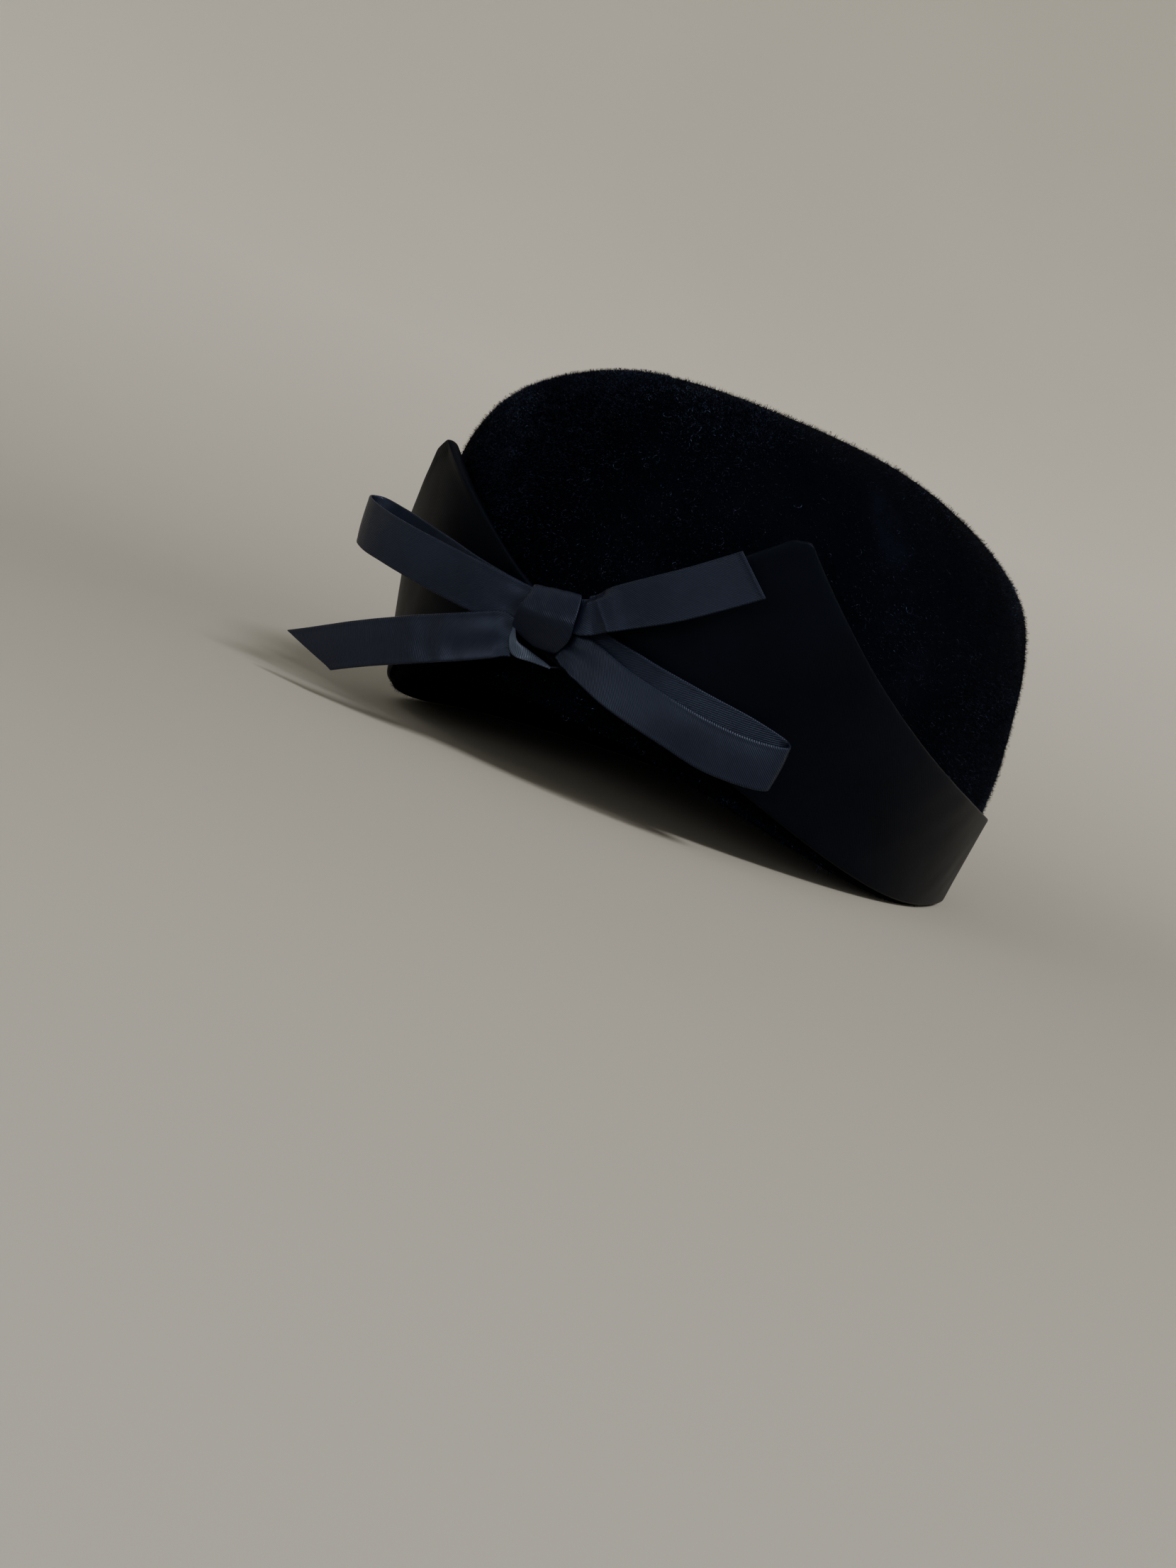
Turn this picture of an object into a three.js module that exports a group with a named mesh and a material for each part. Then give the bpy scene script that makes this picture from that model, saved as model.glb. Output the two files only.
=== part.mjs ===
import * as THREE from 'three';

// A felt half hat standing on its rim. Millimetres, Z up, the front towards -Y.
// Left and right are as seen from the front, so right is +X. Angles start at the front and grow to the right.

const FULL_TURN = 2 * Math.PI;
const DEGREE = Math.PI / 180;

// What touches in the real hat stands this far apart here.
const CLEARANCE = 0.3;

// The crown is one shell of felt with a saddle-shaped rim.
const FELT_WALL = 2.2;
const HALF_WIDTH = 84.5;
const HALF_DEPTH = 96.5;
const PLAN_ROUNDNESS = 2.15;
const RIM_FRONT_LIFT = 18;
const RIM_LEVEL_FROM = 80;
const CROWN_HEIGHT = { front: 110.5, side: 106.5, back: 98 };
const CROWN_LEAN = { front: 0.12, side: 0.04, back: -0.09 };
const CROWN_BELLY = { front: 0, side: 0.02, back: 0 };
const SHOULDER_ACROSS = { front: 3.5, side: 3.1, back: 4 };
const SHOULDER_UP = { front: 5.9, side: 5.4, back: 5.5 };
const BELLY_TOP = 0.6;

// Soft dents left in the crown when it was blocked: deep is of the depth, up and tall of the crown's height.
const DENT_DEPTH = 1.4;
const DENTS = [
  { angle: 22, up: 0.97, deep: 1, wide: 16, tall: 0.12 },
  { angle: -30, up: 0.9, deep: 0.7, wide: 22, tall: 0.16 },
  { angle: 118, up: 0.7, deep: 0.8, wide: 18, tall: 0.14 },
  { angle: -112, up: 0.55, deep: 0.7, wide: 18, tall: 0.2 },
];

// The collar is a stiff covered band with a notch at the front and a point on each side of it.
const COLLAR_THICKNESS = 1.4;
const COLLAR_FLARE = { front: 0.218, side: 0.126, back: 0.011 };
// The left side of the collar was shaped to open a little wider.
const COLLAR_LEFT_EXTRA = 0.22;
const COLLAR_NOTCH_HEIGHT = 40.4;
const COLLAR_BACK_HEIGHT = 27;
// Each point ends in a short flat between two angles. fall is how far the flat drops towards the back.
const COLLAR_POINT_RIGHT = { height: 71, start: 28.3, end: 30.7, fall: -0.8 };
const COLLAR_POINT_LEFT = { height: 70.8, start: 28.2, end: 31.8, fall: 2.4 };
const COLLAR_FRONT_SWEEP = 1.29;
const COLLAR_REAR_SWEEP = 6;
const COLLAR_LIP = 0.9;
const COLLAR_FRONT_LIP = 8.8;

// The bow is tied from one narrow ribbon. Each reach runs from the knot's side to the far end.
const RIBBON_WIDTH = 12;
const RIBBON_THICKNESS = 0.9;
const LOOP_REACH = { left: 52.7, right: 49.7 };
const TAIL_REACH = { left: 53.1, right: 33.7 };
const TAIL_SLANT = { left: 16, right: -2.5 };

// The knot is as big as the ribbon makes it, and it sits over the lower part of the notch.
const KNOT_LEFT = 0.58 * RIBBON_WIDTH;
const KNOT_RIGHT = 0.8 * RIBBON_WIDTH;
const KNOT_TALL = 1.2 * RIBBON_WIDTH;
const KNOT_DEEP = 0.67 * RIBBON_WIDTH;
const KNOT_BELOW_NOTCH = 2.7;
const KNOT_MIDDLE = COLLAR_NOTCH_HEIGHT - KNOT_BELOW_NOTCH;
const KNOT_ROUNDNESS = 3;

// Mesh density.
const CROWN_COLUMNS = 80;
const CROWN_RISE = [0, 0.17, 1.1, 3.5, 7.6, 14, 21, 28, 35, 42, 49, 55, 61, 66, 71, 75, 79, 82, 85, 88];
const LINING_RISE = [0, 12, 24, 35, 45, 54, 62, 69, 75, 80, 85, 88];
const COLLAR_ROWS = 6;

function between(angle, at) {
  const share = Math.cos(angle) ** 2;
  return (Math.cos(angle) > 0 ? at.front : at.back) * share + at.side * (1 - share);
}

function turnFromFront(angle) {
  const turn = ((angle % FULL_TURN) + FULL_TURN) % FULL_TURN;
  return Math.min(turn, FULL_TURN - turn);
}

function rimPlan(angle) {
  const across = Math.sin(angle);
  const along = Math.cos(angle);
  const stretch = (Math.abs(across) ** PLAN_ROUNDNESS + Math.abs(along) ** PLAN_ROUNDNESS) ** (-1 / PLAN_ROUNDNESS);
  return { x: HALF_WIDTH * across * stretch, y: -HALF_DEPTH * along * stretch };
}

function rimHeight(angle) {
  const turn = turnFromFront(angle) / DEGREE;
  return turn < RIM_LEVEL_FROM ? RIM_FRONT_LIFT * Math.cos((turn / RIM_LEVEL_FROM) * 90 * DEGREE) ** 2 : 0;
}

// Crown

function dentDepth(angle, up) {
  let deep = 0;
  for (const dent of DENTS) {
    const aside = turnFromFront(angle - dent.angle * DEGREE) / DEGREE / dent.wide;
    const above = (up - dent.up) / dent.tall;
    deep += DENT_DEPTH * dent.deep * Math.exp(-aside * aside - above * above);
  }
  return deep;
}

// One point of the felt: rise runs from 0 degrees at the rim to 90 at the middle of the top.
function crownPoint(angle, rise, inset) {
  const plan = rimPlan(angle);
  const radius = Math.hypot(plan.x, plan.y);
  const across = Math.cos(rise * DEGREE) ** (2 / between(angle, SHOULDER_ACROSS));
  const up = Math.sin(rise * DEGREE) ** (2 / between(angle, SHOULDER_UP));
  const lean = 1 + between(angle, CROWN_LEAN) * up;
  const belly = 1 + between(angle, CROWN_BELLY) * Math.sin(Math.PI * Math.min(up / BELLY_TOP, 1)) ** 2;
  const dent = dentDepth(angle, up);
  const reach = across * (radius * lean * belly - dent - inset) / radius;
  const middle = (CROWN_HEIGHT.front + 2 * CROWN_HEIGHT.side + CROWN_HEIGHT.back) / 4;
  const top = middle + (between(angle, CROWN_HEIGHT) - middle) * across - dent * across - inset;
  const floor = rimHeight(angle);
  return new THREE.Vector3(plan.x * reach, plan.y * reach, floor + (top - floor) * up);
}

function crownRing(rise, inset) {
  const ring = [];
  for (let i = 0; i < CROWN_COLUMNS; i += 1) ring.push(crownPoint((i / CROWN_COLUMNS) * FULL_TURN, rise, inset));
  return ring;
}

// Collar

function collarTop(angle) {
  const turn = turnFromFront(angle) / DEGREE;
  const point = Math.sin(angle) < 0 ? COLLAR_POINT_LEFT : COLLAR_POINT_RIGHT;
  const { height, start, end, fall } = point;
  const climb = height - COLLAR_NOTCH_HEIGHT;
  if (turn < start) return COLLAR_NOTCH_HEIGHT + climb * (turn / start) ** COLLAR_FRONT_SWEEP;
  if (turn < end) return height - (fall * (turn - start)) / (end - start);
  const sweep = ((180 - turn) / (180 - end)) ** COLLAR_REAR_SWEEP;
  return COLLAR_BACK_HEIGHT + (height - fall - COLLAR_BACK_HEIGHT) * sweep;
}

function collarFoot(angle) {
  return rimHeight(angle) + COLLAR_LIP + COLLAR_FRONT_LIP * Math.max(Math.cos(angle), 0) ** 4;
}

function collarPoint(angle, height, out) {
  const plan = rimPlan(angle);
  const extra = 1 + COLLAR_LEFT_EXTRA * Math.max(-Math.sin(angle), 0) * Math.max(Math.cos(angle), 0) ** 0.5;
  const flare = extra * between(angle, COLLAR_FLARE) * (height - rimHeight(angle));
  const reach = 1 + (CLEARANCE + flare + out) / Math.hypot(plan.x, plan.y);
  return new THREE.Vector3(plan.x * reach, plan.y * reach, height);
}

function collarSection(angle) {
  const foot = collarFoot(angle);
  const top = collarTop(angle);
  const section = [];
  for (let row = 0; row <= COLLAR_ROWS; row += 1) {
    section.push(collarPoint(angle, foot + ((top - foot) * row) / COLLAR_ROWS, COLLAR_THICKNESS));
  }
  for (let row = COLLAR_ROWS; row >= 0; row -= 1) {
    section.push(collarPoint(angle, foot + ((top - foot) * row) / COLLAR_ROWS, 0));
  }
  return section;
}

function collarTurns(point) {
  const turns = [4, 8, 12, 16, 20, 23, 26, point.start, point.end];
  for (let turn = 35; turn < 90; turn += 4.5) turns.push(turn);
  for (let turn = 90; turn < 180; turn += 6) turns.push(turn);
  return turns;
}

function collarAngles() {
  const right = collarTurns(COLLAR_POINT_RIGHT);
  const left = collarTurns(COLLAR_POINT_LEFT).reverse().map((turn) => 360 - turn);
  return [0, ...right, 180, ...left].map((turn) => turn * DEGREE);
}

// Bow
// Each path starts at the knot. along is of the piece's reach; up from the knot's middle, out from the collar's
// face and share of full width are of the ribbon's width.

const LOOP_LEFT = [
  { along: 0.001, up: 0.018, out: 0.358, share: 0.89 },
  { along: 0.09, up: 0.042, out: 0.442, share: 0.92 },
  { along: 0.242, up: 0.1, out: 0.575, share: 0.96 },
  { along: 0.507, up: 0.23, out: 0.908, share: 0.97 },
  { along: 0.754, up: 0.385, out: 1.35, share: 0.97 },
  { along: 0.925, up: 0.525, out: 1.667, share: 1 },
  { along: 1, up: 0.642, out: 1.692, share: 1 },
  { along: 0.974, up: 0.7, out: 1.342, share: 1 },
  { along: 0.83, up: 0.62, out: 0.833, share: 0.99 },
  { along: 0.583, up: 0.419, out: 0.408, share: 0.97 },
  { along: 0.318, up: 0.189, out: 0.242, share: 0.93 },
  { along: 0.09, up: 0.045, out: 0.225, share: 0.92 },
  { along: 0.001, up: 0.02, out: 0.217, share: 0.88 },
];

const LOOP_RIGHT = [
  { along: -0.012, up: -0.441, out: 0.417, share: 0.67 },
  { along: 0.062, up: -0.501, out: 0.458, share: 0.8 },
  { along: 0.264, up: -0.775, out: 0.658, share: 0.82 },
  { along: 0.525, up: -1.018, out: 0.867, share: 0.83 },
  { along: 0.746, up: -1.19, out: 1.042, share: 0.88 },
  { along: 0.928, up: -1.192, out: 1.217, share: 0.88 },
  { along: 1, up: -1.133, out: 1.217, share: 0.88 },
  { along: 0.976, up: -1.042, out: 0.883, share: 0.88 },
  { along: 0.827, up: -0.875, out: 0.583, share: 0.88 },
  { along: 0.565, up: -0.697, out: 0.442, share: 0.88 },
  { along: 0.304, up: -0.482, out: 0.35, share: 0.83 },
  { along: 0.082, up: -0.254, out: 0.258, share: 0.73 },
  { along: -0.012, up: -0.157, out: 0.25, share: 0.6 },
];

const TAIL_LEFT = [
  { along: 0.004, up: -0.61, out: 0.642, share: 0.89 },
  { along: 0.048, up: -0.695, out: 0.725, share: 0.91 },
  { along: 0.161, up: -0.902, out: 0.908, share: 0.94 },
  { along: 0.349, up: -1.21, out: 1.158, share: 0.97 },
  { along: 0.66, up: -1.725, out: 1.717, share: 0.98 },
  { along: 1, up: -2.325, out: 2.808, share: 0.98 },
];

const TAIL_RIGHT = [
  { along: 0.036, up: 0.262, out: 0.522, share: 0.75 },
  { along: 0.092, up: 0.347, out: 0.508, share: 0.78 },
  { along: 0.24, up: 0.589, out: 0.483, share: 0.85 },
  { along: 0.596, up: 1.154, out: 0.483, share: 0.92 },
  { along: 1, up: 1.92, out: 0.592, share: 0.93 },
];

// The knot from its lower edge upwards: up is of its height, left, right and front of its sizes that way.
const KNOT = [
  { up: -0.5, left: 0.3, right: 0.55, front: 0.62 },
  { up: -0.45, left: 0.62, right: 0.68, front: 0.8 },
  { up: -0.33, left: 0.93, right: 0.8, front: 0.95 },
  { up: -0.19, left: 0.95, right: 0.9, front: 1 },
  { up: 0.06, left: 0.78, right: 0.98, front: 1 },
  { up: 0.23, left: 0.65, right: 1, front: 0.93 },
  { up: 0.42, left: 0.48, right: 0.93, front: 0.72 },
  { up: 0.5, left: 0.3, right: 0.8, front: 0.5 },
];

// A ribbon layer that shows as a thin edge around the knot's lower left, its width running in depth. It hangs a
// little below the knot.
const FOLD = { fromTurn: 206, toTurn: 283, out: 0.4, share: 0.36, hang: 0.27 };

function curvedPower(value, roundness) {
  return Math.sign(value) * Math.abs(value) ** (2 / roundness);
}

// How far forward the collar's face is at a place across the hat.
function collarFace(x, height) {
  let low = -90 * DEGREE;
  let high = 90 * DEGREE;
  for (let pass = 0; pass < 40; pass += 1) {
    const middle = (low + high) / 2;
    if (collarPoint(middle, height, COLLAR_THICKNESS).x < x) low = middle;
    else high = middle;
  }
  return collarPoint(low, height, COLLAR_THICKNESS).y;
}

function bowPoint(x, z, out) {
  return new THREE.Vector3(x, collarFace(x, z) - out * RIBBON_WIDTH, z);
}

// side is -1 to the left and 1 to the right; layers counts the ribbon layers between the knot and the start.
function bowPath(rows, side, reach, layers) {
  const edge = (side < 0 ? KNOT_LEFT : KNOT_RIGHT) + CLEARANCE + layers * (RIBBON_THICKNESS + CLEARANCE);
  return rows.map((row) => ({
    point: bowPoint(side * (edge + row.along * reach), KNOT_MIDDLE + row.up * RIBBON_WIDTH, row.out),
    share: row.share,
  }));
}

function foldPath() {
  const gap = 2 * CLEARANCE + RIBBON_THICKNESS / 2;
  const rows = [];
  for (let step = 0; step <= 5; step += 1) {
    const turn = (FOLD.fromTurn + ((FOLD.toTurn - FOLD.fromTurn) * step) / 5) * DEGREE;
    const x = curvedPower(Math.cos(turn), KNOT_ROUNDNESS) * (KNOT_LEFT + gap);
    const z = KNOT_MIDDLE + curvedPower(Math.sin(turn), KNOT_ROUNDNESS) * (KNOT_TALL / 2 + FOLD.hang * RIBBON_WIDTH);
    rows.push({ point: bowPoint(x, z, FOLD.out), share: FOLD.share });
  }
  return rows;
}

function shareAt(rows, place) {
  const spot = Math.min(place * (rows.length - 1), rows.length - 1.0001);
  const i = Math.floor(spot);
  const ease = THREE.MathUtils.smoothstep(spot - i, 0, 1);
  return rows[i].share * (1 - ease) + rows[i + 1].share * ease;
}

// Rings of a flat ribbon swept along a path. The slant moves one corner of the far end along the ribbon.
function ribbonRings(rows, steps, upright, slant) {
  const path = new THREE.CatmullRomCurve3(rows.map((row) => row.point), false, 'centripetal');
  const rings = [];
  for (let step = 0; step <= steps; step += 1) {
    const place = step / steps;
    const centre = path.getPoint(place);
    const ahead = path.getTangent(place);
    const wide = upright.clone().addScaledVector(ahead, -upright.dot(ahead)).normalize();
    const thick = new THREE.Vector3().crossVectors(ahead, wide).multiplyScalar(RIBBON_THICKNESS / 2);
    const reach = (shareAt(rows, place) * RIBBON_WIDTH) / 2;
    const shift = slant * THREE.MathUtils.smoothstep(place, 0.35, 1) * 0.5;
    const ring = [];
    for (const [side, face] of [[-1, 1], [0, 1], [1, 1], [1, -1], [0, -1], [-1, -1]]) {
      ring.push(centre.clone().addScaledVector(wide, side * reach).addScaledVector(ahead, side * shift)
        .addScaledVector(thick, face));
    }
    rings.push(ring);
  }
  return rings;
}

function knotRings() {
  const points = 28;
  return KNOT.map((row) => {
    const height = KNOT_MIDDLE + row.up * KNOT_TALL;
    const back = collarFace(0, height) - CLEARANCE;
    const deep = row.front * KNOT_DEEP;
    const middle = (row.right * KNOT_RIGHT - row.left * KNOT_LEFT) / 2;
    const half = (row.right * KNOT_RIGHT + row.left * KNOT_LEFT) / 2;
    const ring = [];
    for (let i = 0; i < points; i += 1) {
      const angle = (i / points) * FULL_TURN;
      const across = curvedPower(Math.cos(angle), KNOT_ROUNDNESS);
      const along = curvedPower(Math.sin(angle), KNOT_ROUNDNESS);
      ring.push(new THREE.Vector3(middle + half * across, back - (deep / 2) * (1 + along), height));
    }
    return ring;
  });
}

// Closed bodies from rings of points

function bodyFromRings(rings, { joined = false, first = null, last = null } = {}) {
  const size = rings[0].length;
  const points = rings.flat();
  const triangles = [];
  const bands = joined ? rings.length : rings.length - 1;
  for (let band = 0; band < bands; band += 1) {
    const low = band * size;
    const high = ((band + 1) % rings.length) * size;
    for (let i = 0; i < size; i += 1) {
      const next = (i + 1) % size;
      triangles.push(low + i, low + next, high + next, low + i, high + next, high + i);
    }
  }
  if (!joined) {
    const start = points.push(first ?? middleOf(rings[0])) - 1;
    const end = points.push(last ?? middleOf(rings[rings.length - 1])) - 1;
    const top = (rings.length - 1) * size;
    for (let i = 0; i < size; i += 1) {
      const next = (i + 1) % size;
      triangles.push(start, next, i, end, top + i, top + next);
    }
  }
  return facingOut(points, triangles);
}

function middleOf(ring) {
  const sum = new THREE.Vector3();
  for (const point of ring) sum.add(point);
  return sum.divideScalar(ring.length);
}

function facingOut(points, triangles) {
  let volume = 0;
  for (let i = 0; i < triangles.length; i += 3) {
    const [a, b, c] = [points[triangles[i]], points[triangles[i + 1]], points[triangles[i + 2]]];
    volume += a.dot(new THREE.Vector3().crossVectors(b, c));
  }
  if (volume < 0) triangles.reverse();
  const geometry = new THREE.BufferGeometry();
  geometry.setAttribute('position', new THREE.Float32BufferAttribute(points.flatMap((point) => point.toArray()), 3));
  geometry.setIndex(triangles);
  geometry.computeVertexNormals();
  return geometry;
}

// The hat put together

const felt = new THREE.MeshStandardMaterial({ color: 0x0b101c, roughness: 0.95 });
const satin = new THREE.MeshStandardMaterial({ color: 0x121827, roughness: 0.55 });
const ribbon = new THREE.MeshStandardMaterial({ color: 0x161e30, roughness: 0.45 });

const hat = new THREE.Group();
hat.name = 'half_hat';

function add(name, geometry, material) {
  const mesh = new THREE.Mesh(geometry, material);
  mesh.name = name;
  hat.add(mesh);
}

const inside = LINING_RISE.map((rise) => crownRing(rise, FELT_WALL)).reverse();
const outside = CROWN_RISE.map((rise) => crownRing(rise, 0));
add('crown', bodyFromRings([...inside, ...outside], {
  first: crownPoint(0, 90, FELT_WALL),
  last: crownPoint(0, 90, 0),
}), felt);

add('collar_band', bodyFromRings(collarAngles().map(collarSection), { joined: true }), satin);

const UP = new THREE.Vector3(0, 0, 1);
const DEEP = new THREE.Vector3(0, -1, 0);
const LEFT = -1;
const RIGHT = 1;

function addRibbon(name, path, steps, upright, slant) {
  add(name, bodyFromRings(ribbonRings(path, steps, upright, slant)), ribbon);
}

addRibbon('bow_loop_left', bowPath(LOOP_LEFT, LEFT, LOOP_REACH.left, 0), 48, UP, 0);
addRibbon('bow_loop_right', bowPath(LOOP_RIGHT, RIGHT, LOOP_REACH.right, 0), 48, UP, 0);
addRibbon('bow_tail_left', bowPath(TAIL_LEFT, LEFT, TAIL_REACH.left, 1), 18, UP, TAIL_SLANT.left);
addRibbon('bow_tail_right', bowPath(TAIL_RIGHT, RIGHT, TAIL_REACH.right, 0), 16, UP, TAIL_SLANT.right);
addRibbon('knot_fold', foldPath(), 16, DEEP, 0);
add('bow_knot', bodyFromRings(knotRings()), ribbon);

// The origin lies under the middle of the whole hat, from the bow to the back.
const bounds = new THREE.Box3().setFromObject(hat);
hat.position.y = -(bounds.min.y + bounds.max.y) / 2;

export default hat;
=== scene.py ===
import math

import bpy
import numpy as np
from mathutils import Matrix, Vector


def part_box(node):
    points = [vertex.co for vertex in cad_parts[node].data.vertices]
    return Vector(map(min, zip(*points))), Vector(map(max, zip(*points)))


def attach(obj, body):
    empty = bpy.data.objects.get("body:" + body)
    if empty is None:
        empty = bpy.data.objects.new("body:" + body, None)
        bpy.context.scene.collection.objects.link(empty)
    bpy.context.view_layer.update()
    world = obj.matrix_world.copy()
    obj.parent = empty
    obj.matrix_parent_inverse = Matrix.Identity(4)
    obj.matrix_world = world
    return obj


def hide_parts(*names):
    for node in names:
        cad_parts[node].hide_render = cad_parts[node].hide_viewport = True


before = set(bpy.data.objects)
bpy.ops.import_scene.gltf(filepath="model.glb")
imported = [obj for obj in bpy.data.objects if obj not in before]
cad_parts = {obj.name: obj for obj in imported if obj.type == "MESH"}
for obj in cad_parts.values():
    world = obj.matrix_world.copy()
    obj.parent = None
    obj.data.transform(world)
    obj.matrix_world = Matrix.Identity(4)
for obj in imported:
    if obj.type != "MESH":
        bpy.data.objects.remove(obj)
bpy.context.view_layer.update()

# Sizes are in millimetres and angles in degrees, as in the CAD source.
# Left and right are as seen from the front.
# A row of three values is for the front, the sides and the back.
MM = 0.001
CLEARANCE = 0.3

FELT_WALL = 2.2
HALF_WIDTH = 84.5
HALF_DEPTH = 96.5
PLAN_ROUNDNESS = 2.15
RIM_FRONT_LIFT = 18
RIM_LEVEL_FROM = 80
CROWN_HEIGHT = (110.5, 106.5, 98)
CROWN_LEAN = (0.12, 0.04, -0.09)
CROWN_BELLY = (0, 0.02, 0)
SHOULDER_ACROSS = (3.5, 3.1, 4)
SHOULDER_UP = (5.9, 5.4, 5.5)
BELLY_TOP = 0.6
DENT_DEPTH = 1.4
# Soft dents in the felt: angle, place up the crown, depth, width in degrees, height.
# All but the two angles are shares, of the crown's height or of DENT_DEPTH.
DENTS = [
    (22, 0.97, 1, 16, 0.12),
    (-30, 0.9, 0.7, 22, 0.16),
    (118, 0.7, 0.8, 18, 0.14),
    (-112, 0.55, 0.7, 18, 0.2),
]

COLLAR_THICKNESS = 1.4
COLLAR_FLARE = (0.218, 0.126, 0.011)
COLLAR_LEFT_EXTRA = 0.22
COLLAR_NOTCH_HEIGHT = 40.4
COLLAR_BACK_HEIGHT = 27
# Height of each point, the angles where its top edge starts and ends, and how far it falls between them
COLLAR_POINT_RIGHT = (71, 28.3, 30.7, -0.8)
COLLAR_POINT_LEFT = (70.8, 28.2, 31.8, 2.4)
COLLAR_FRONT_SWEEP = 1.29
COLLAR_REAR_SWEEP = 6
COLLAR_LIP = 0.9
COLLAR_FRONT_LIP = 8.8

RIBBON_WIDTH = 12
RIBBON_THICKNESS = 0.6
RIBBON_POINTS_ACROSS = 25
LOOP_REACH = {"left": 52.7, "right": 49.7}
TAIL_REACH = {"left": 53.1, "right": 33.7}
TAIL_SLANT = {"left": 16, "right": -2.5}
KNOT_LEFT = 0.58 * RIBBON_WIDTH
KNOT_RIGHT = 0.8 * RIBBON_WIDTH
KNOT_MIDDLE = COLLAR_NOTCH_HEIGHT - 2.7
LAYER = 0.9 + CLEARANCE

CUT_EDGE_ROUNDING = 0.9
NAP_LENGTH = 1.3
NAP_HAIRS = 172000
NAP_CURLS = 1600
CURL_STEPS = 8
# Patches of the pile that have been stroked up, also thickened as a painted highlight: place across,
# back and up, size, strength
BRUSHED_AND_HIGHLIGHT_PATCHES = [
    (-29, -96, 81, 16, 13),
    (-12, -93, 94, 10, 6),
    (20, -91, 93, 12, 2.5),
    (86, -15, 48, 14, 1),
]

# The shapes below are worked out round the crown's middle, which lies this far back in the frame.
MIDDLE_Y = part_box("crown")[1][1] / MM - HALF_DEPTH


# Shapes shared with the CAD


def between(angle, at):
    """Mixes the values at the front, the sides and the back."""
    share = np.cos(angle) ** 2
    ends = np.where(np.cos(angle) > 0, at[0], at[2])
    return ends * share + at[1] * (1 - share)


def turn_from_front(angle):
    """Degrees away from the front, from 0 to 180 on either side."""
    return np.degrees(np.abs((angle + np.pi) % (2 * np.pi) - np.pi))


def rim_plan(angle):
    """The rim's outline from above, across and back."""
    across, along = np.sin(angle), np.cos(angle)
    n = PLAN_ROUNDNESS
    stretch = (np.abs(across) ** n + np.abs(along) ** n) ** (-1 / n)
    return HALF_WIDTH * across * stretch, -HALF_DEPTH * along * stretch


def rim_height(angle):
    """The rim arches up at the front and is level at the sides and the back."""
    turn = np.minimum(turn_from_front(angle) / RIM_LEVEL_FROM, 1)
    return RIM_FRONT_LIFT * np.cos(turn * np.pi / 2) ** 2


def dent_depth(angle, up):
    deep = 0 * angle
    for at, height, depth, wide, tall in DENTS:
        aside = turn_from_front(angle - math.radians(at)) / wide
        above = (up - height) / tall
        deep = deep + DENT_DEPTH * depth * np.exp(-(aside**2) - above**2)
    return deep


def crown_point(angle, rise, inset):
    """A place on the crown, or inset below its skin. rise goes from the rim to the top."""
    x, y = rim_plan(angle)
    radius = np.hypot(x, y)
    across = np.cos(rise) ** (2 / between(angle, SHOULDER_ACROSS))
    up = np.sin(rise) ** (2 / between(angle, SHOULDER_UP))
    lean = 1 + between(angle, CROWN_LEAN) * up
    belly = 1 + between(angle, CROWN_BELLY) * np.sin(np.pi * np.minimum(up / BELLY_TOP, 1)) ** 2
    dent = dent_depth(angle, up)
    reach = across * (radius * lean * belly - dent - inset) / radius
    middle = (CROWN_HEIGHT[0] + 2 * CROWN_HEIGHT[1] + CROWN_HEIGHT[2]) / 4
    top = middle + (between(angle, CROWN_HEIGHT) - middle) * across - dent * across - inset
    floor = rim_height(angle)
    return np.stack([x * reach, y * reach, floor + (top - floor) * up], -1)


def collar_top(angle):
    """The top edge climbs from the notch to a point on each side and falls away to the back."""
    turn = turn_from_front(angle)
    sides = zip(COLLAR_POINT_LEFT, COLLAR_POINT_RIGHT)
    height, start, end, fall = (np.where(np.sin(angle) < 0, left, right) for left, right in sides)
    rise = np.clip(turn / start, 0, 1) ** COLLAR_FRONT_SWEEP
    climb = COLLAR_NOTCH_HEIGHT + (height - COLLAR_NOTCH_HEIGHT) * rise
    flat = height - fall * (turn - start) / (end - start)
    sweep = np.clip((180 - turn) / (180 - end), 0, 1) ** COLLAR_REAR_SWEEP
    descent = COLLAR_BACK_HEIGHT + (height - fall - COLLAR_BACK_HEIGHT) * sweep
    return np.where(turn < start, climb, np.where(turn < end, flat, descent))


def collar_foot(angle):
    return rim_height(angle) + COLLAR_LIP + COLLAR_FRONT_LIP * np.maximum(np.cos(angle), 0) ** 4


def collar_point(angle, height, out):
    """A place on the collar, out from its inner face, which leans out more at the front left."""
    x, y = rim_plan(angle)
    front_left = np.maximum(-np.sin(angle), 0) * np.sqrt(np.maximum(np.cos(angle), 0))
    extra = 1 + COLLAR_LEFT_EXTRA * front_left
    flare = extra * between(angle, COLLAR_FLARE) * (height - rim_height(angle))
    reach = 1 + (CLEARANCE + flare + out) / np.hypot(x, y)
    return np.stack([x * reach, y * reach, height + 0 * x], -1)


def collar_face(x, height):
    """How far forward the collar's face is at places across the hat."""
    x, height = np.broadcast_arrays(np.asarray(x, float), np.asarray(height, float))
    low, high = np.full(x.shape, -math.pi / 2), np.full(x.shape, math.pi / 2)
    for _ in range(40):
        middle = (low + high) / 2
        short = collar_point(middle, height, COLLAR_THICKNESS)[..., 0] < x
        low, high = np.where(short, middle, low), np.where(short, high, middle)
    return collar_point(low, height, COLLAR_THICKNESS)[..., 1]


# Meshes


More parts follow.
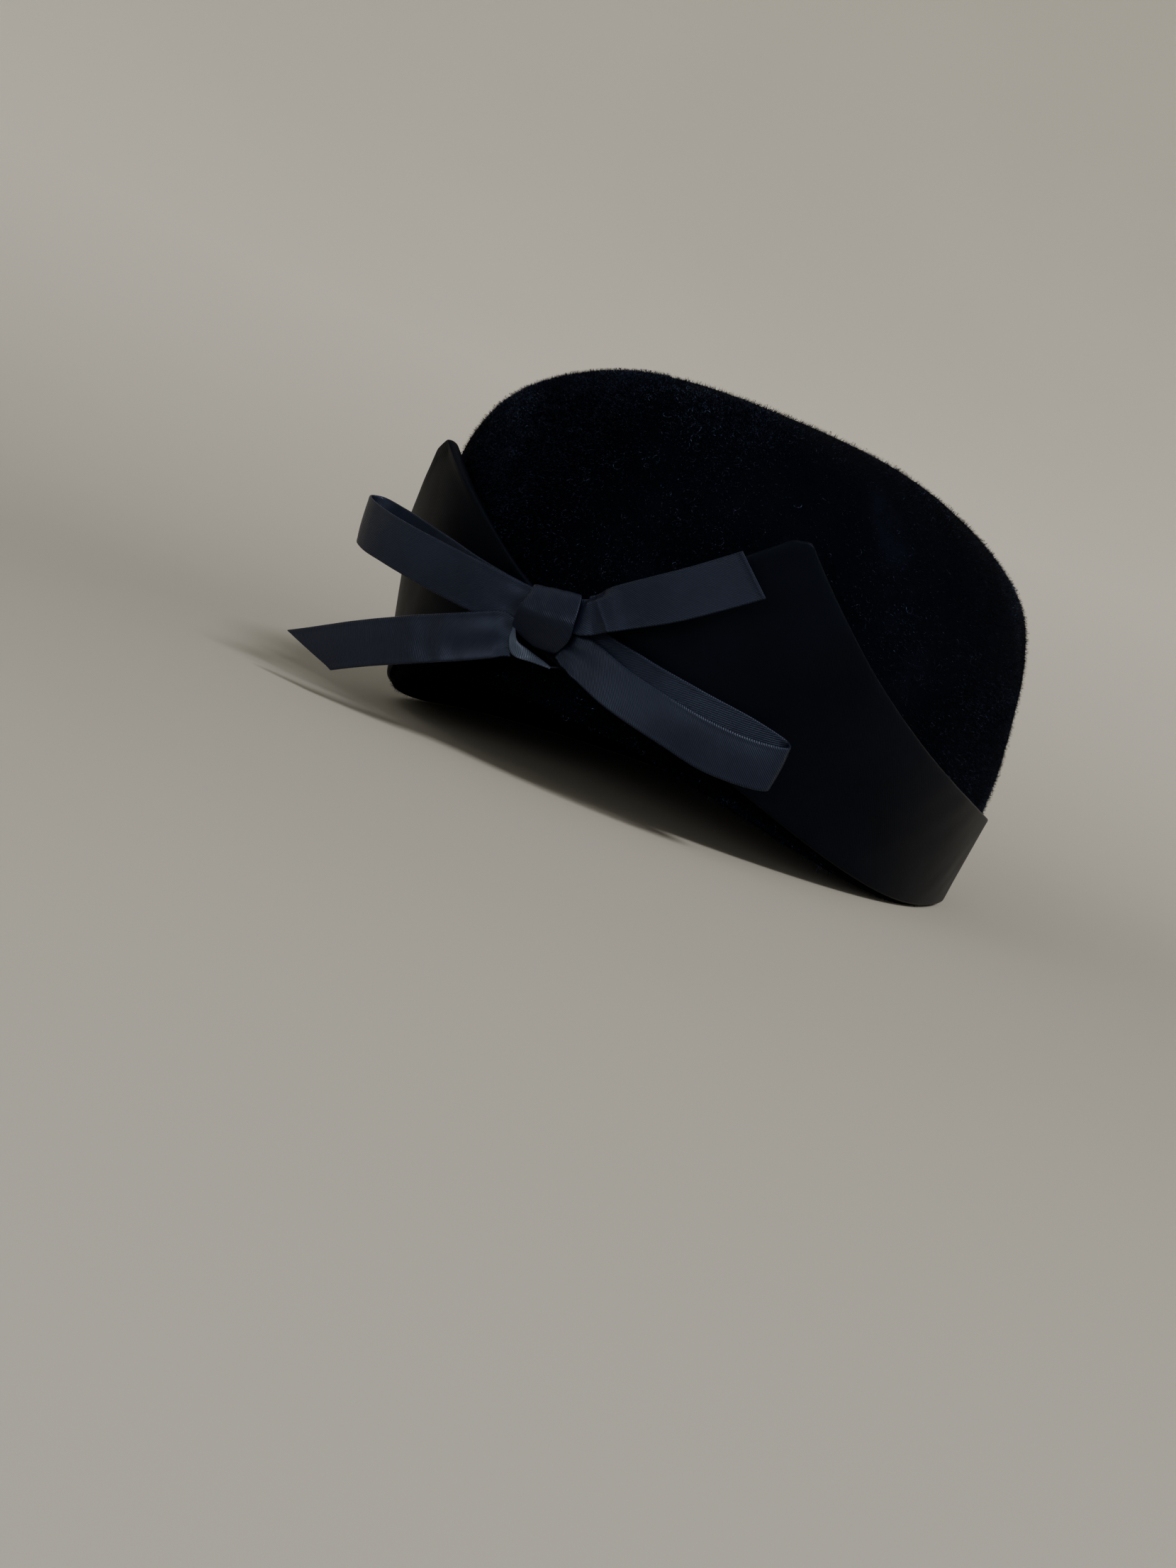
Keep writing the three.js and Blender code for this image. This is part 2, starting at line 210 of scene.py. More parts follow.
def make_mesh(name, points, faces, material, smooth=True, uv=None):
    """Makes a piece that rides on the root, from points in millimetres round the crown's middle."""
    mesh = bpy.data.meshes.new(name)
    mesh.from_pydata(((points + (0, MIDDLE_Y, 0)) * MM).tolist(), [], faces)
    mesh.update()
    if uv is not None:
        corners = np.empty(len(mesh.loops), int)
        mesh.loops.foreach_get("vertex_index", corners)
        mesh.uv_layers.new(name="along").data.foreach_set("uv", (uv * MM)[corners].ravel())
    mesh.polygons.foreach_set("use_smooth", np.full(len(mesh.polygons), smooth))
    mesh.materials.append(material)
    piece = bpy.data.objects.new(name, mesh)
    bpy.context.scene.collection.objects.link(piece)
    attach(piece, "root")
    return piece


def grid_faces(rows, columns, rows_join=False, columns_join=False):
    """Faces between rows of points; the last row or column may join the first."""
    faces = []
    for r in range(rows if rows_join else rows - 1):
        low, high = r * columns, ((r + 1) % rows) * columns
        c = np.arange(columns if columns_join else columns - 1)
        n = (c + 1) % columns
        faces.append(np.stack([low + c, low + n, high + n, high + c], -1))
    return np.concatenate(faces)


def flip_if_inward(points, faces):
    """Turns the faces over if the volume inside them comes out below nought."""
    a, b, c, d = (points[faces[:, i]] for i in range(4))
    volume = (a * np.cross(b, c)).sum() + (a * np.cross(c, d)).sum()
    return faces if volume > 0 else faces[:, ::-1]


def unit(vectors):
    return vectors / np.maximum(np.linalg.norm(vectors, axis=-1, keepdims=True), 1e-6)


def travelled(track):
    """How far each point of a track lies from its start, along the track."""
    return np.concatenate([[0], np.cumsum(np.linalg.norm(np.diff(track, axis=0), axis=1))])


def tube_faces(points, rows, columns):
    """The faces of a tube with both ends closed, all facing out."""
    around = np.arange(columns)
    sides = grid_faces(rows, columns, columns_join=True)
    ends = [around[::-1], around + (rows - 1) * columns]
    fans = [np.stack([0 * end[2:] + end[0], end[1:-1], end[2:], end[2:]], -1) for end in ends]
    closed = np.concatenate([sides, *fans])
    outward = flip_if_inward(points, closed) is closed
    faces = sides.tolist() + [end.tolist() for end in ends]
    return faces if outward else [face[::-1] for face in faces]


def ripple(points, scale, seed, waves=7):
    """Smooth noise, mostly from -1 to 1, with bumps about one scale across."""
    random = np.random.RandomState(seed)
    total = np.zeros(points.shape[:-1])
    for _ in range(waves):
        direction = random.normal(size=3)
        direction *= 2 * np.pi / (scale * np.linalg.norm(direction)) * random.uniform(0.6, 1.3)
        total += np.sin(points @ direction + random.uniform(0, 2 * np.pi))
    return total / waves * 1.8


# Crown


def even_rises(count):
    """Rises that split the crown's profile into steps of equal length."""
    fine = (np.linspace(0, 1, 4000) ** 3) * np.pi / 2
    profile = crown_point(np.full_like(fine, 1.2), fine, 0)
    length = travelled(profile)
    return np.interp(np.linspace(0, length[-1] * 0.985, count), length, fine)


def cut_edge(outer, inner):
    """Rounds the felt's cut edge between the lowest rings of its skins, and lifts both to meet it."""
    middle = (outer + inner) / 2
    half = (outer - inner) / 2
    rings = []
    for step in np.linspace(0, np.pi, 9)[1:-1]:
        ring = middle + half * math.cos(step)
        ring[:, 2] = outer[:, 2] + CUT_EDGE_ROUNDING * (1 - math.sin(step))
        rings.append(ring)
    outer[:, 2] += CUT_EDGE_ROUNDING
    inner[:, 2] += CUT_EDGE_ROUNDING
    return rings[::-1]


def hand_blocked(points):
    """Moves the felt in and out a little, as blocking by hand leaves it, and less towards the rim."""
    uneven = 0.35 * ripple(points, 46, 3) + 0.12 * ripple(points, 17, 4)
    radius = np.linalg.norm(points[:, :2], axis=1, keepdims=True)
    away = points[:, :2] / np.maximum(radius, 1)
    points[:, :2] += away * uneven[:, None] * np.clip(points[:, 2:] / 30, 0, 1)
    points[:, 2] += 0.5 * uneven * np.clip((points[:, 2] - 80) / 20, 0, 1)


def crown_piece(material):
    columns = 360
    angle = np.arange(columns) / columns * 2 * np.pi
    outside = [crown_point(angle, np.full(columns, rise), 0) for rise in even_rises(84)]
    inside = [crown_point(angle, np.full(columns, rise), FELT_WALL) for rise in even_rises(40)]
    rings = inside[::-1] + cut_edge(outside[0], inside[0]) + outside
    points = np.concatenate(rings)
    hand_blocked(points)
    faces = flip_if_inward(points, grid_faces(len(rings), columns, columns_join=True)).tolist()
    c = np.arange(columns)
    n = (c + 1) % columns
    last = (len(rings) - 1) * columns
    points = np.vstack([points, points[:columns].mean(0), points[last:].mean(0)])
    faces += np.stack([0 * c + len(points) - 2, n, c], -1).tolist()
    faces += np.stack([0 * c + len(points) - 1, last + c, last + n], -1).tolist()
    piece = make_mesh("felt_crown", points, faces, material)
    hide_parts("crown")
    return piece


def brushed_and_highlight(places):
    """How much the pile has been stroked up, so that it stands thicker and catches the light; the
    thicker, paler pile there is partly a painted highlight.
    """
    total = 0
    for *spot, wide, strong in BRUSHED_AND_HIGHLIGHT_PATCHES:
        total = total + strong * np.exp(-((places - spot) ** 2).sum(-1) / wide**2)
    return total


def felt_places(crown, count, random):
    """Random places on the felt wherever it shows, with the way out at each."""
    mesh = crown.data
    mesh.calc_loop_triangles()
    triangles = np.empty(len(mesh.loop_triangles) * 3, int)
    mesh.loop_triangles.foreach_get("vertices", triangles)
    points = np.empty(len(mesh.vertices) * 3)
    mesh.vertices.foreach_get("co", points)
    corners = (points.reshape(-1, 3) / MM)[triangles.reshape(-1, 3)] - (0, MIDDLE_Y, 0)
    normal = np.cross(corners[:, 1] - corners[:, 0], corners[:, 2] - corners[:, 0])
    area = np.linalg.norm(normal, axis=1) / 2
    normal /= np.maximum(2 * area[:, None], 1e-9)
    centre = corners.mean(1)
    angle = np.arctan2(centre[:, 0] / HALF_WIDTH, -centre[:, 1] / HALF_DEPTH)
    outward = (normal[:, :2] * centre[:, :2]).sum(1) + normal[:, 2] * (centre[:, 2] - 40) > 0
    covered = (centre[:, 2] > collar_foot(angle) + 1.5) & (centre[:, 2] < collar_top(angle) - 5)
    patchy = np.exp(0.45 * ripple(centre, 30, 14))
    # More of the paler pile in the brushed patches, partly brushing and partly a painted highlight.
    weight = area * outward * ~covered * patchy * (0.35 + brushed_and_highlight(centre))
    chosen = random.choice(len(area), count, p=weight / weight.sum())
    mix = random.dirichlet((1, 1, 1), count)
    return (corners[chosen] * mix[:, :, None]).sum(1), normal[chosen]


def tufts(crown, random):
    """One sliver of a triangle for each tuft, combed downwards in drifting swirls."""
    root, out = felt_places(crown, NAP_HAIRS, random)
    down = unit(np.array([0, 0, -1.0]) + out * out[:, 2:] + random.normal(0, 0.05, root.shape))
    side = np.cross(out, down)
    swirl = 1.3 * ripple(root, 52, 8) + 0.6 * ripple(root, 13, 9) + random.normal(0, 0.7, NAP_HAIRS)
    combed = down * np.cos(swirl)[:, None] + side * np.sin(swirl)[:, None]
    lean = np.clip(0.6 + 0.25 * ripple(root, 21, 10) + random.normal(0, 0.45, NAP_HAIRS), 0, 2)
    way = unit(out + combed * lean[:, None] + random.normal(0, 0.3, root.shape))
    long = NAP_LENGTH * random.uniform(0.4, 1.15, NAP_HAIRS)
    half_width = random.uniform(0.035, 0.085, NAP_HAIRS)
    wide = half_width[:, None] * unit(np.cross(way, random.normal(size=root.shape)))
    root = root - 0.1 * out
    return np.stack([root - wide, root + wide, root + way * long[:, None]], 1).reshape(-1, 3)


def curled_fibres(crown, random):
    """Longer fibres that have curled over, each a narrow strip."""
    root, out = felt_places(crown, NAP_CURLS, random)
    first = unit(np.cross(out, random.normal(size=root.shape)))
    second = np.cross(out, first)
    radius = random.uniform(0.3, 1.1, NAP_CURLS)[:, None]
    sweep = random.uniform(1.2, 4.6, NAP_CURLS)[:, None]
    strips = []
    for step in np.linspace(0, 1, CURL_STEPS):
        turn = sweep * step
        middle = root + radius * (first * np.sin(turn) + second * (1 - np.cos(turn)))
        middle = middle + out * (0.55 + 0.5 * math.sin(math.pi * step))
        across = 0.07 * (first * np.cos(turn + 1.57) + second * np.sin(turn + 1.57))
        strips += [middle - across, middle + across]
    return np.stack(strips, 1).reshape(-1, 3)


def nap_piece(crown, material):
    """The short pile on the felt, with a few longer fibres."""
    random = np.random.RandomState(11)
    blades = tufts(crown, random)
    strips = curled_fibres(crown, random)
    points = np.vstack([blades, strips])
    points[:, 2] = np.maximum(points[:, 2], 0.1)
    in_curl = 2 * CURL_STEPS
    first = len(blades) + np.arange(NAP_CURLS)[:, None] * in_curl + np.arange(0, in_curl - 2, 2)
    halves = [[first, first + 1, first + 3], [first, first + 3, first + 2]]
    triangles = [np.arange(len(blades)).reshape(-1, 3)]
    triangles += [np.stack(half, -1).reshape(-1, 3) for half in halves]
    piece = make_mesh("felt_nap", points, np.vstack(triangles).tolist(), material, smooth=False)


# Collar


def collar_angles():
    """Angles round the collar, closer together at the notch and at the two points."""
    even = np.arange(0, 360, 0.6)
    notch = [np.arange(0, 3, 0.2), np.arange(357, 360, 0.2)]
    two_points = [np.arange(26, 34, 0.25), np.arange(326, 334, 0.25)]
    return np.radians(np.unique(np.concatenate([even, *notch, *two_points]).round(3)))


def band_section(foot, top):
    """Heights and distances out round the band: up its face, over, down its back and under."""
    bend = COLLAR_THICKNESS / 2
    low, high = foot + bend, top - bend
    over = np.linspace(0, np.pi, 9)[1:-1]
    section = [(low + (high - low) * share, COLLAR_THICKNESS) for share in np.linspace(0, 1, 26)]
    section += [(high + bend * math.sin(step), bend + bend * math.cos(step)) for step in over]
    section += [(low + (high - low) * share, 0) for share in np.linspace(1, 0, 14)]
    section += [(low + bend * math.sin(step), bend + bend * math.cos(step)) for step in over + np.pi]
    return section


def collar_row(angle, foot, top, height, out):
    """A row of points round the collar, with a rolled lip at the left point and a faint wave."""
    rolled = np.exp(-(((turn_from_front(angle) - 26) / 7) ** 2)) * (np.sin(angle) < 0)
    lip = rolled * np.exp(-(((top - height) / 1.8) ** 2)) * (2 * out / COLLAR_THICKNESS - 1)
    row = collar_point(angle, height, out + lip)
    away = row[:, :2] / np.linalg.norm(row[:, :2], axis=1, keepdims=True)
    wave = 0.22 * ripple(row, 31, 21) + 0.07 * ripple(row, 9, 22)
    hold = np.clip((height - foot) / 6, 0, 1)
    row[:, :2] += away * np.maximum(wave, -0.1)[:, None] * hold[:, None]
    return row


def collar_piece(material):
    angle = collar_angles()
    # The points and the notch are softly rounded, as a turned cloth edge is.
    soft = np.radians(np.linspace(-0.4, 0.4, 7))
    top = np.mean([collar_top(angle + shift) for shift in soft], 0)
    foot = collar_foot(angle)
    rows = [collar_row(angle, foot, top, height, out) for height, out in band_section(foot, top)]
    points = np.concatenate(rows)
    length = travelled(rows[0])
    uv = np.concatenate([np.stack([length, row[:, 2]], -1) for row in rows])
    faces = grid_faces(len(rows), len(angle), rows_join=True, columns_join=True)
    piece = make_mesh("satin_collar", points, flip_if_inward(points, faces).tolist(), material, uv=uv)
    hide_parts("collar_band")


# Bow
# Each row is a place along a loop or tail: along, up, out, width.
# along is a share of the piece's reach, and a row below nought is tucked into the knot.
# up from the knot's middle and out from the collar's face are in ribbon widths.
# width is a share of the ribbon's full width.

LOOP_LEFT = [
    (-0.085, 0.02, 0.36, 0.78),
    (0.001, 0.018, 0.358, 0.89),
    (0.09, 0.042, 0.442, 0.92),
    (0.242, 0.1, 0.575, 0.96),
    (0.507, 0.23, 0.908, 0.97),
    (0.754, 0.385, 1.35, 0.97),
    (0.925, 0.525, 1.667, 1),
    (1, 0.642, 1.692, 1),
    (0.974, 0.7, 1.342, 1),
    (0.83, 0.62, 0.833, 0.99),
    (0.583, 0.419, 0.408, 0.97),
    (0.318, 0.189, 0.242, 0.93),
    (0.09, 0.045, 0.225, 0.92),
    (0.001, 0.02, 0.217, 0.88),
    (-0.08, 0.02, 0.22, 0.78),
]
LOOP_RIGHT = [
    (-0.07, -0.4, 0.38, 0.52),
    (-0.012, -0.441, 0.417, 0.67),
    (0.062, -0.501, 0.458, 0.8),
    (0.264, -0.775, 0.658, 0.82),
    (0.525, -1.018, 0.867, 0.83),
    (0.746, -1.19, 1.042, 0.88),
    (0.928, -1.192, 1.217, 0.88),
    (1, -1.133, 1.217, 0.88),
    (0.976, -1.042, 0.883, 0.88),
    (0.827, -0.875, 0.583, 0.88),
    (0.565, -0.697, 0.442, 0.88),
    (0.304, -0.482, 0.35, 0.83),
    (0.082, -0.254, 0.258, 0.73),
    (-0.012, -0.157, 0.25, 0.6),
    (-0.07, -0.12, 0.24, 0.5),
]
TAIL_LEFT = [
    (-0.058, -0.57, 0.49, 0.75),
    (0.004, -0.61, 0.642, 0.89),
    (0.048, -0.695, 0.725, 0.91),
    (0.161, -0.902, 0.908, 0.94),
    (0.349, -1.21, 1.158, 0.97),
    (0.66, -1.725, 1.717, 0.98),
    (1, -2.325, 2.808, 0.98),
]
TAIL_RIGHT = [
    (-0.056, 0.21, 0.45, 0.66),
    (0.036, 0.262, 0.522, 0.75),
    (0.092, 0.347, 0.508, 0.78),
    (0.24, 0.589, 0.483, 0.85),
    (0.596, 1.154, 0.483, 0.92),
    (1, 1.92, 0.592, 0.93),
]
# The wrap round the middle, as rows round it.
# Each row is out from the collar's face, share of the wrap's height, left edge, right edge.
WRAP = [
    (0.6, 0.14, -3, 4),
    (2.5, 0.03, -3, 4.5),
    (4.6, 0, -4, 5),
    (6, 0.1, -6.4, 7),
    (7.3, 0.3, -5.5, 9.2),
    (8.3, 0.54, -4.4, 9.9),
    (7.5, 0.74, -3.3, 9.7),
    (6.1, 0.95, -3.4, 9),
    (4.2, 1, -4, 7.9),
    (2.2, 0.965, -3.5, 7),
    (0.8, 0.83, -3, 6),
    (0.5, 0.5, -3.5, 5),
]
WRAP_BOTTOM = 30.5
WRAP_LEFT_RISE = 1.4
WRAP_TOP = (43.8, 45)
WRAP_WALL = 0.5
WRAP_MOUTH_ROWS = 13
# The ribbon turned under the knot. Each row has its outer edge, its inner edge and its hidden edge.
# Each edge is a place across, up and out from the collar's face.
FOLD = [
    ((-6.4, 33, 6), (-5.8, 33.1, 5.9), (-5, 32.8, 4)),
    ((-5.8, 29.6, 7), (-4.3, 30.4, 6.2), (-3.9, 31, 3)),
    ((-4.7, 27.5, 6.9), (-1.8, 29.4, 5.2), (-1.6, 29.9, 1.8)),
    ((-3.3, 26.9, 6.5), (0.5, 28.7, 4.7), (0.7, 29.2, 1.4)),
    ((0.6, 27.1, 5.8), (2.8, 28.1, 4.6), (3, 28.6, 1.4)),
    ((5.3, 27.2, 5.2), (5.2, 27.4, 4.9), (5.4, 28, 1.6)),
]
FOLD_STEPS = 60
FOLD_POINTS_ACROSS = 21
FOLD_HALF_THICKNESS = 0.22


def bow_path(rows, side, reach, layers):
    """Turns a table's rows into a path in millimetres; side is -1 for left and 1 for right."""
    edge = (KNOT_LEFT if side < 0 else KNOT_RIGHT) + CLEARANCE + layers * LAYER
    along, up, out, share = np.array(rows).T
    x = side * (edge + along * reach)
    z = KNOT_MIDDLE + up * RIBBON_WIDTH
    return np.stack([x, collar_face(x, z) - out * RIBBON_WIDTH, z], -1), share


def smooth_path(points, places, closed=False):
    """Centripetal Catmull-Rom through the points, as in the CAD; places run from 0 to 1."""
    if closed:
        padded = np.vstack([points[-1:], points, points[:2]])
    else:
        padded = np.vstack([2 * points[:1] - points[1:2], points, 2 * points[-1:] - points[-2:-1]])
    count = len(padded) - 3
    spot = np.minimum(np.asarray(places) * count, count - 1e-9)
    i = np.floor(spot).astype(int)
    w = (spot - i)[:, None]
    p0, p1, p2, p3 = (padded[i + k] for k in range(4))
    pairs = ((p0, p1), (p1, p2), (p2, p3))
    d0, d1, d2 = (np.sqrt(np.linalg.norm(b - a, axis=1, keepdims=True)) for a, b in pairs)
    t1 = ((p1 - p0) / d0 - (p2 - p0) / (d0 + d1) + (p2 - p1) / d1) * d1
    t2 = ((p2 - p1) / d1 - (p3 - p1) / (d1 + d2) + (p3 - p2) / d2) * d1
    return p1 + t1 * w + (-3 * p1 + 3 * p2 - 2 * t1 - t2) * w**2 + (2 * p1 - 2 * p2 + t1 + t2) * w**3


def share_at(shares, places):
    """The width's share at places from 0 to 1 along the path, eased from row to row."""
    spot = np.minimum(places * (len(shares) - 1), len(shares) - 1 - 1e-9)
    i = np.floor(spot).astype(int)
    w = spot - i
    ease = w * w * (3 - 2 * w)
    return shares[i] * (1 - ease) + shares[i + 1] * ease


def ribbon_section():
    """Round a ribbon: side from -1 to 1, face from 1 to -1, and how far out on the rounded edge."""
    flat = np.linspace(-1, 1, RIBBON_POINTS_ACROSS)
    turn = np.linspace(0, np.pi, 6)[1:-1]
    side = np.concatenate([flat, 1 + 0 * turn, -flat, -1 - 0 * turn])
    face = np.concatenate([1 + 0 * flat, np.cos(turn), -1 + 0 * flat, -np.cos(turn)])
    edge = np.concatenate([0 * flat, np.sin(turn), 0 * flat, -np.sin(turn)])
    return side, face, edge


def ribbon_piece(name, node, path, shares, material, shape, slant=0, fold=None, steps=200):
    """A woven ribbon swept along a path, with thin rounded selvedges.

    shape gives its lift for distances from the start and the end and a side from -1 to 1.
    slant skews the cut end, and fold is the way that a loop's far fold runs.
    """
    fine = np.linspace(0, 1, 1200)
    distance = travelled(smooth_path(path, fine))
    places = np.interp(np.linspace(0, distance[-1], steps + 1), distance, fine)
    gone = np.interp(places, fine, distance)
    centre = smooth_path(path, places)
    before = smooth_path(path, np.maximum(places - 1e-4, 0))
    after = smooth_path(path, np.minimum(places + 1e-4, 1))
    ahead = unit(after - before)
    upright = np.array([0, 0, 1.0])
    wide = unit(upright - ahead * (ahead @ upright)[:, None])
    if fold:
        inside = np.clip((1 - np.abs(2 * gone / distance[-1] - 1) - 0.3) / 0.35, 0, 1)[:, None]
        inside = inside * inside * (3 - 2 * inside)
        wide = unit(wide * (1 - inside) + np.array(fold) * inside)
    thick = unit(np.cross(ahead, wide))
    reach = share_at(shares, places) * RIBBON_WIDTH / 2
    ease = np.clip((places - 0.35) / 0.65, 0, 1)
    shift = slant * ease * ease * (3 - 2 * ease) / 2
    half = RIBBON_THICKNESS / 2
    rings, uv = [], []
    for side, face, edge in zip(*ribbon_section()):
        selvedge = half * (1 if abs(side) > 0.9 else 0.8)
        width = side * (reach - half) + edge * half
        place = centre + wide * width[:, None]
        lift = face * selvedge + 0.05 * ripple(place, 7, 31) + shape(gone, distance[-1] - gone, side)
        rings.append(place + ahead * (side * shift)[:, None] + thick * lift[:, None])
        uv.append(np.stack([gone, side * reach + 10], -1))
    columns = len(rings)
    points = np.stack(rings, 1).reshape(-1, 3)
    faces = tube_faces(points, steps + 1, columns)
    piece = make_mesh(name, points, faces, material, uv=np.stack(uv, 1).reshape(-1, 2))
    declare_ribbon(node)


def declare_ribbon(node):
    """Hides the CAD solid that the ribbon stands for."""
    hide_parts(node)


def near(distance, run):
    """1 at no distance, and falling to nought over a run."""
    return np.exp(-((distance / run) ** 2))


def loop_shape(outward):
    """Faint gathers that run out from the knot, and a slight arch from edge to edge."""

    def shape(start, end, side):
        gathers = 0.16 * (near(start, 9) + near(end, 9)) * math.cos(6 * side + 0.8)
        return gathers + outward * 0.3 * (1 - side * side) * (1 - near(start, 12) - near(end, 12))

    return shape


def tail_left_shape(start, end, side):
    """Gathers by the knot, soft creases a little way along and a slight hollow."""
    gathers = 0.22 * near(start, 14) * math.cos(4.5 * side + 2.4)
    creases = 0.13 * np.sin(0.62 * start + 2.2 * side) * near(start - 19, 9)
    return gathers + creases - 0.2 * (1 - side * side) * (1 - near(start, 15))


def tail_right_shape(start, end, side):
    """The edge turned over by the knot, one sharp crease beside it and the double hem at the end."""
    turned_edge = 7 * max(side - 0.62, 0) * near(start - 5, 5)
    sharp = 0.38 * np.exp(-np.abs(start - 7.2 + 0.8 * side) / 0.7)
    soft = 0.3 * near(start - 9.5, 2.2)
    hem = 0.22 * (end < 0.9) + 0.08 * near(end - 1.1, 0.25)
    return (sharp + soft) * (1 - 0.4 * side) - turned_edge + hem


def wrap_ring(across, inset):
    """A ring round the wrap, at a share of the way from its left edge to its right."""
    places = np.linspace(0, 1, 160, endpoint=False)
    out, share, left, right = smooth_path(np.array(WRAP), places, closed=True).T
    bottom = WRAP_BOTTOM + WRAP_LEFT_RISE * max(1 - across / 0.45, 0) ** 1.5
    top = WRAP_TOP[0] + (WRAP_TOP[1] - WRAP_TOP[0]) * across
    loop = np.stack([out, bottom + (top - bottom) * share], -1)
    ahead = np.roll(loop, -1, 0) - np.roll(loop, 1, 0)
    inward = unit(np.stack([-ahead[:, 1], ahead[:, 0]], -1))
    inward *= np.sign(((loop.mean(0) - loop) * inward).sum())
    loop = loop + inward * inset
    x = left + (right - left) * across
    return np.stack([x, collar_face(x, loop[:, 1]) - loop[:, 0], loop[:, 1]], -1)


def wrap_piece(material):
    """The ribbon round the middle of the bow, with two hollow mouths for the loops and tails."""
    length = travelled(wrap_ring(0.5, 0))
    rings, uv = [], []
    # The section starts inside the left mouth, goes over the face and ends inside the right mouth.
    rows = RIBBON_POINTS_ACROSS + 2 * WRAP_MOUTH_ROWS
    section = (np.roll(row, WRAP_MOUTH_ROWS)[:rows] for row in ribbon_section())
    for side, face, edge in zip(*section):
        across = (side + 1) / 2 + edge * 0.015
        inset = WRAP_WALL * (1 - face) / 2
        arch = 0.1 * (1 - side * side) + 0.05 * math.cos(9 * side + 1)
        rings.append(wrap_ring(across, inset - arch))
        uv.append(np.stack([length, side * RIBBON_WIDTH / 2 + 10 + 0 * length], -1))
    points = np.concatenate(rings)
    faces = tube_faces(points, len(rings), len(length))
    piece = make_mesh("ribbon_knot", points, faces, material, uv=np.concatenate(uv))
    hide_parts("bow_knot")


def fold_piece(painted_highlight_material, painted_shade_material):
    """The ribbon turned under the knot, from its outer edge over its face and back out of sight."""
    edges = []
    for edge in np.array(FOLD).transpose(1, 0, 2):
        x, z, out = smooth_path(edge, np.linspace(0, 1, FOLD_STEPS)).T
        edges.append(np.stack([x, collar_face(x, z) - out, z], -1))
    across = np.linspace(0, 1, FOLD_POINTS_ACROSS)
    sheet = np.stack([smooth_path(np.array(line), across) for line in zip(*edges)])
    along_way = np.gradient(sheet, axis=0)
    across_way = np.gradient(sheet, axis=1)
    lift = unit(np.cross(along_way, across_way)) * FOLD_HALF_THICKNESS
    edge = unit(across_way[:, [0, -1]]) * FOLD_HALF_THICKNESS
    face_side, far_side = sheet + lift, (sheet - lift)[:, ::-1]
    inner_edge, outer_edge = sheet[:, -1:] + edge[:, 1:], sheet[:, :1] - edge[:, :1]
    lanes = np.concatenate([face_side, inner_edge, far_side, outer_edge], 1)
    columns = lanes.shape[1]
    points = lanes.reshape(-1, 3)
    faces = tube_faces(points, FOLD_STEPS, columns)
    length = travelled(sheet[:, 5])
    depth = travelled(sheet[FOLD_STEPS // 2])
    depth = np.concatenate([depth, depth[-1:], depth[::-1], depth[:1]])
    uv = np.stack(np.broadcast_arrays(length[:, None], 10 + depth[None]), -1).reshape(-1, 2)
    # Its face has the lighter ribbon colours, a painted highlight.
    piece = make_mesh("ribbon_under_knot", points, faces, painted_highlight_material, uv=uv)
    piece.data.materials.append(painted_shade_material)
    # The inner half, which runs back out of sight, is as dark as the collar: it has the collar's satin
    # as painted shade in the hollow under the knot.
    inner = FOLD_POINTS_ACROSS // 2
    column = np.arange(len(piece.data.polygons)) % columns
    hidden = (column >= inner) & (column < columns - inner - 2)
    piece.data.polygons.foreach_set("material_index", hidden.astype(int))
    declare_ribbon("knot_fold")


# Materials


def grey(value):
    return (value, value, value)


def node_material(name):
    material = bpy.data.materials.new(name)
    material.use_nodes = True
    tree = material.node_tree
    shader = tree.nodes["Principled BSDF"]
    return material, tree, shader


def link(tree, source, socket, target, into):
    tree.links.new(source.outputs[socket], target.inputs[into])


def noise(tree, scale, detail, roughness, where):
    node = tree.nodes.new("ShaderNodeTexNoise")
    node.inputs["Scale"].default_value = scale
    node.inputs["Detail"].default_value = detail
    node.inputs["Roughness"].default_value = roughness
    tree.links.new(where, node.inputs["Vector"])
    return node


def ramp(tree, source, stops):
    """Turns a value into colours, through stops of a place and a colour."""
    node = tree.nodes.new("ShaderNodeValToRGB")
    elements = node.color_ramp.elements
    while len(elements) < len(stops):
        elements.new(0.5)
    for element, (place, colour) in zip(elements, stops):
        element.position = place
        element.color = (*colour, 1)
    tree.links.new(source, node.inputs["Fac"])
    return node


def bump(tree, shader, height, strength, distance, after=None):
    """Gives the shader a relief, on top of an earlier one where after says so."""
    node = tree.nodes.new("ShaderNodeBump")
    node.inputs["Strength"].default_value = strength
    node.inputs["Distance"].default_value = distance
    tree.links.new(height, node.inputs["Height"])
    if after is not None:
        tree.links.new(after.outputs["Normal"], node.inputs["Normal"])
    tree.links.new(node.outputs["Normal"], shader.inputs["Normal"])
    return node


def object_space(tree):
    """Places in metres on the piece itself."""
    return tree.nodes.new("ShaderNodeTexCoord").outputs["Object"]


def cloth_material(name, roughness, specular, specular_tint, colours, spots, scale):
    """A dark cloth whose colour drifts a little from place to place."""
    material, tree, shader = node_material(name)
    where = object_space(tree)
    cloudy = noise(tree, scale, 4, 0.6, where)
    colour = ramp(tree, cloudy.outputs["Fac"], list(zip(spots, colours)))
    rough = ramp(tree, cloudy.outputs["Fac"], [(0.3, grey(roughness[0])), (0.7, grey(roughness[1]))])
    link(tree, rough, "Color", shader, "Roughness")
    shader.inputs["Specular IOR Level"].default_value = specular
    shader.inputs["Specular Tint"].default_value = (*specular_tint, 1)
    return material, tree, shader, where, colour


def multiplied_colour(tree, shader, colour, pattern, strength):
    """Darkens or lightens a colour by a pattern and gives it to the shader."""
    mix = tree.nodes.new("ShaderNodeMixRGB")
    mix.blend_type = "MULTIPLY"
    mix.inputs["Fac"].default_value = strength
    link(tree, colour, "Color", mix, "Color1")
    link(tree, pattern, "Color", mix, "Color2")
    link(tree, mix, "Color", shader, "Base Color")


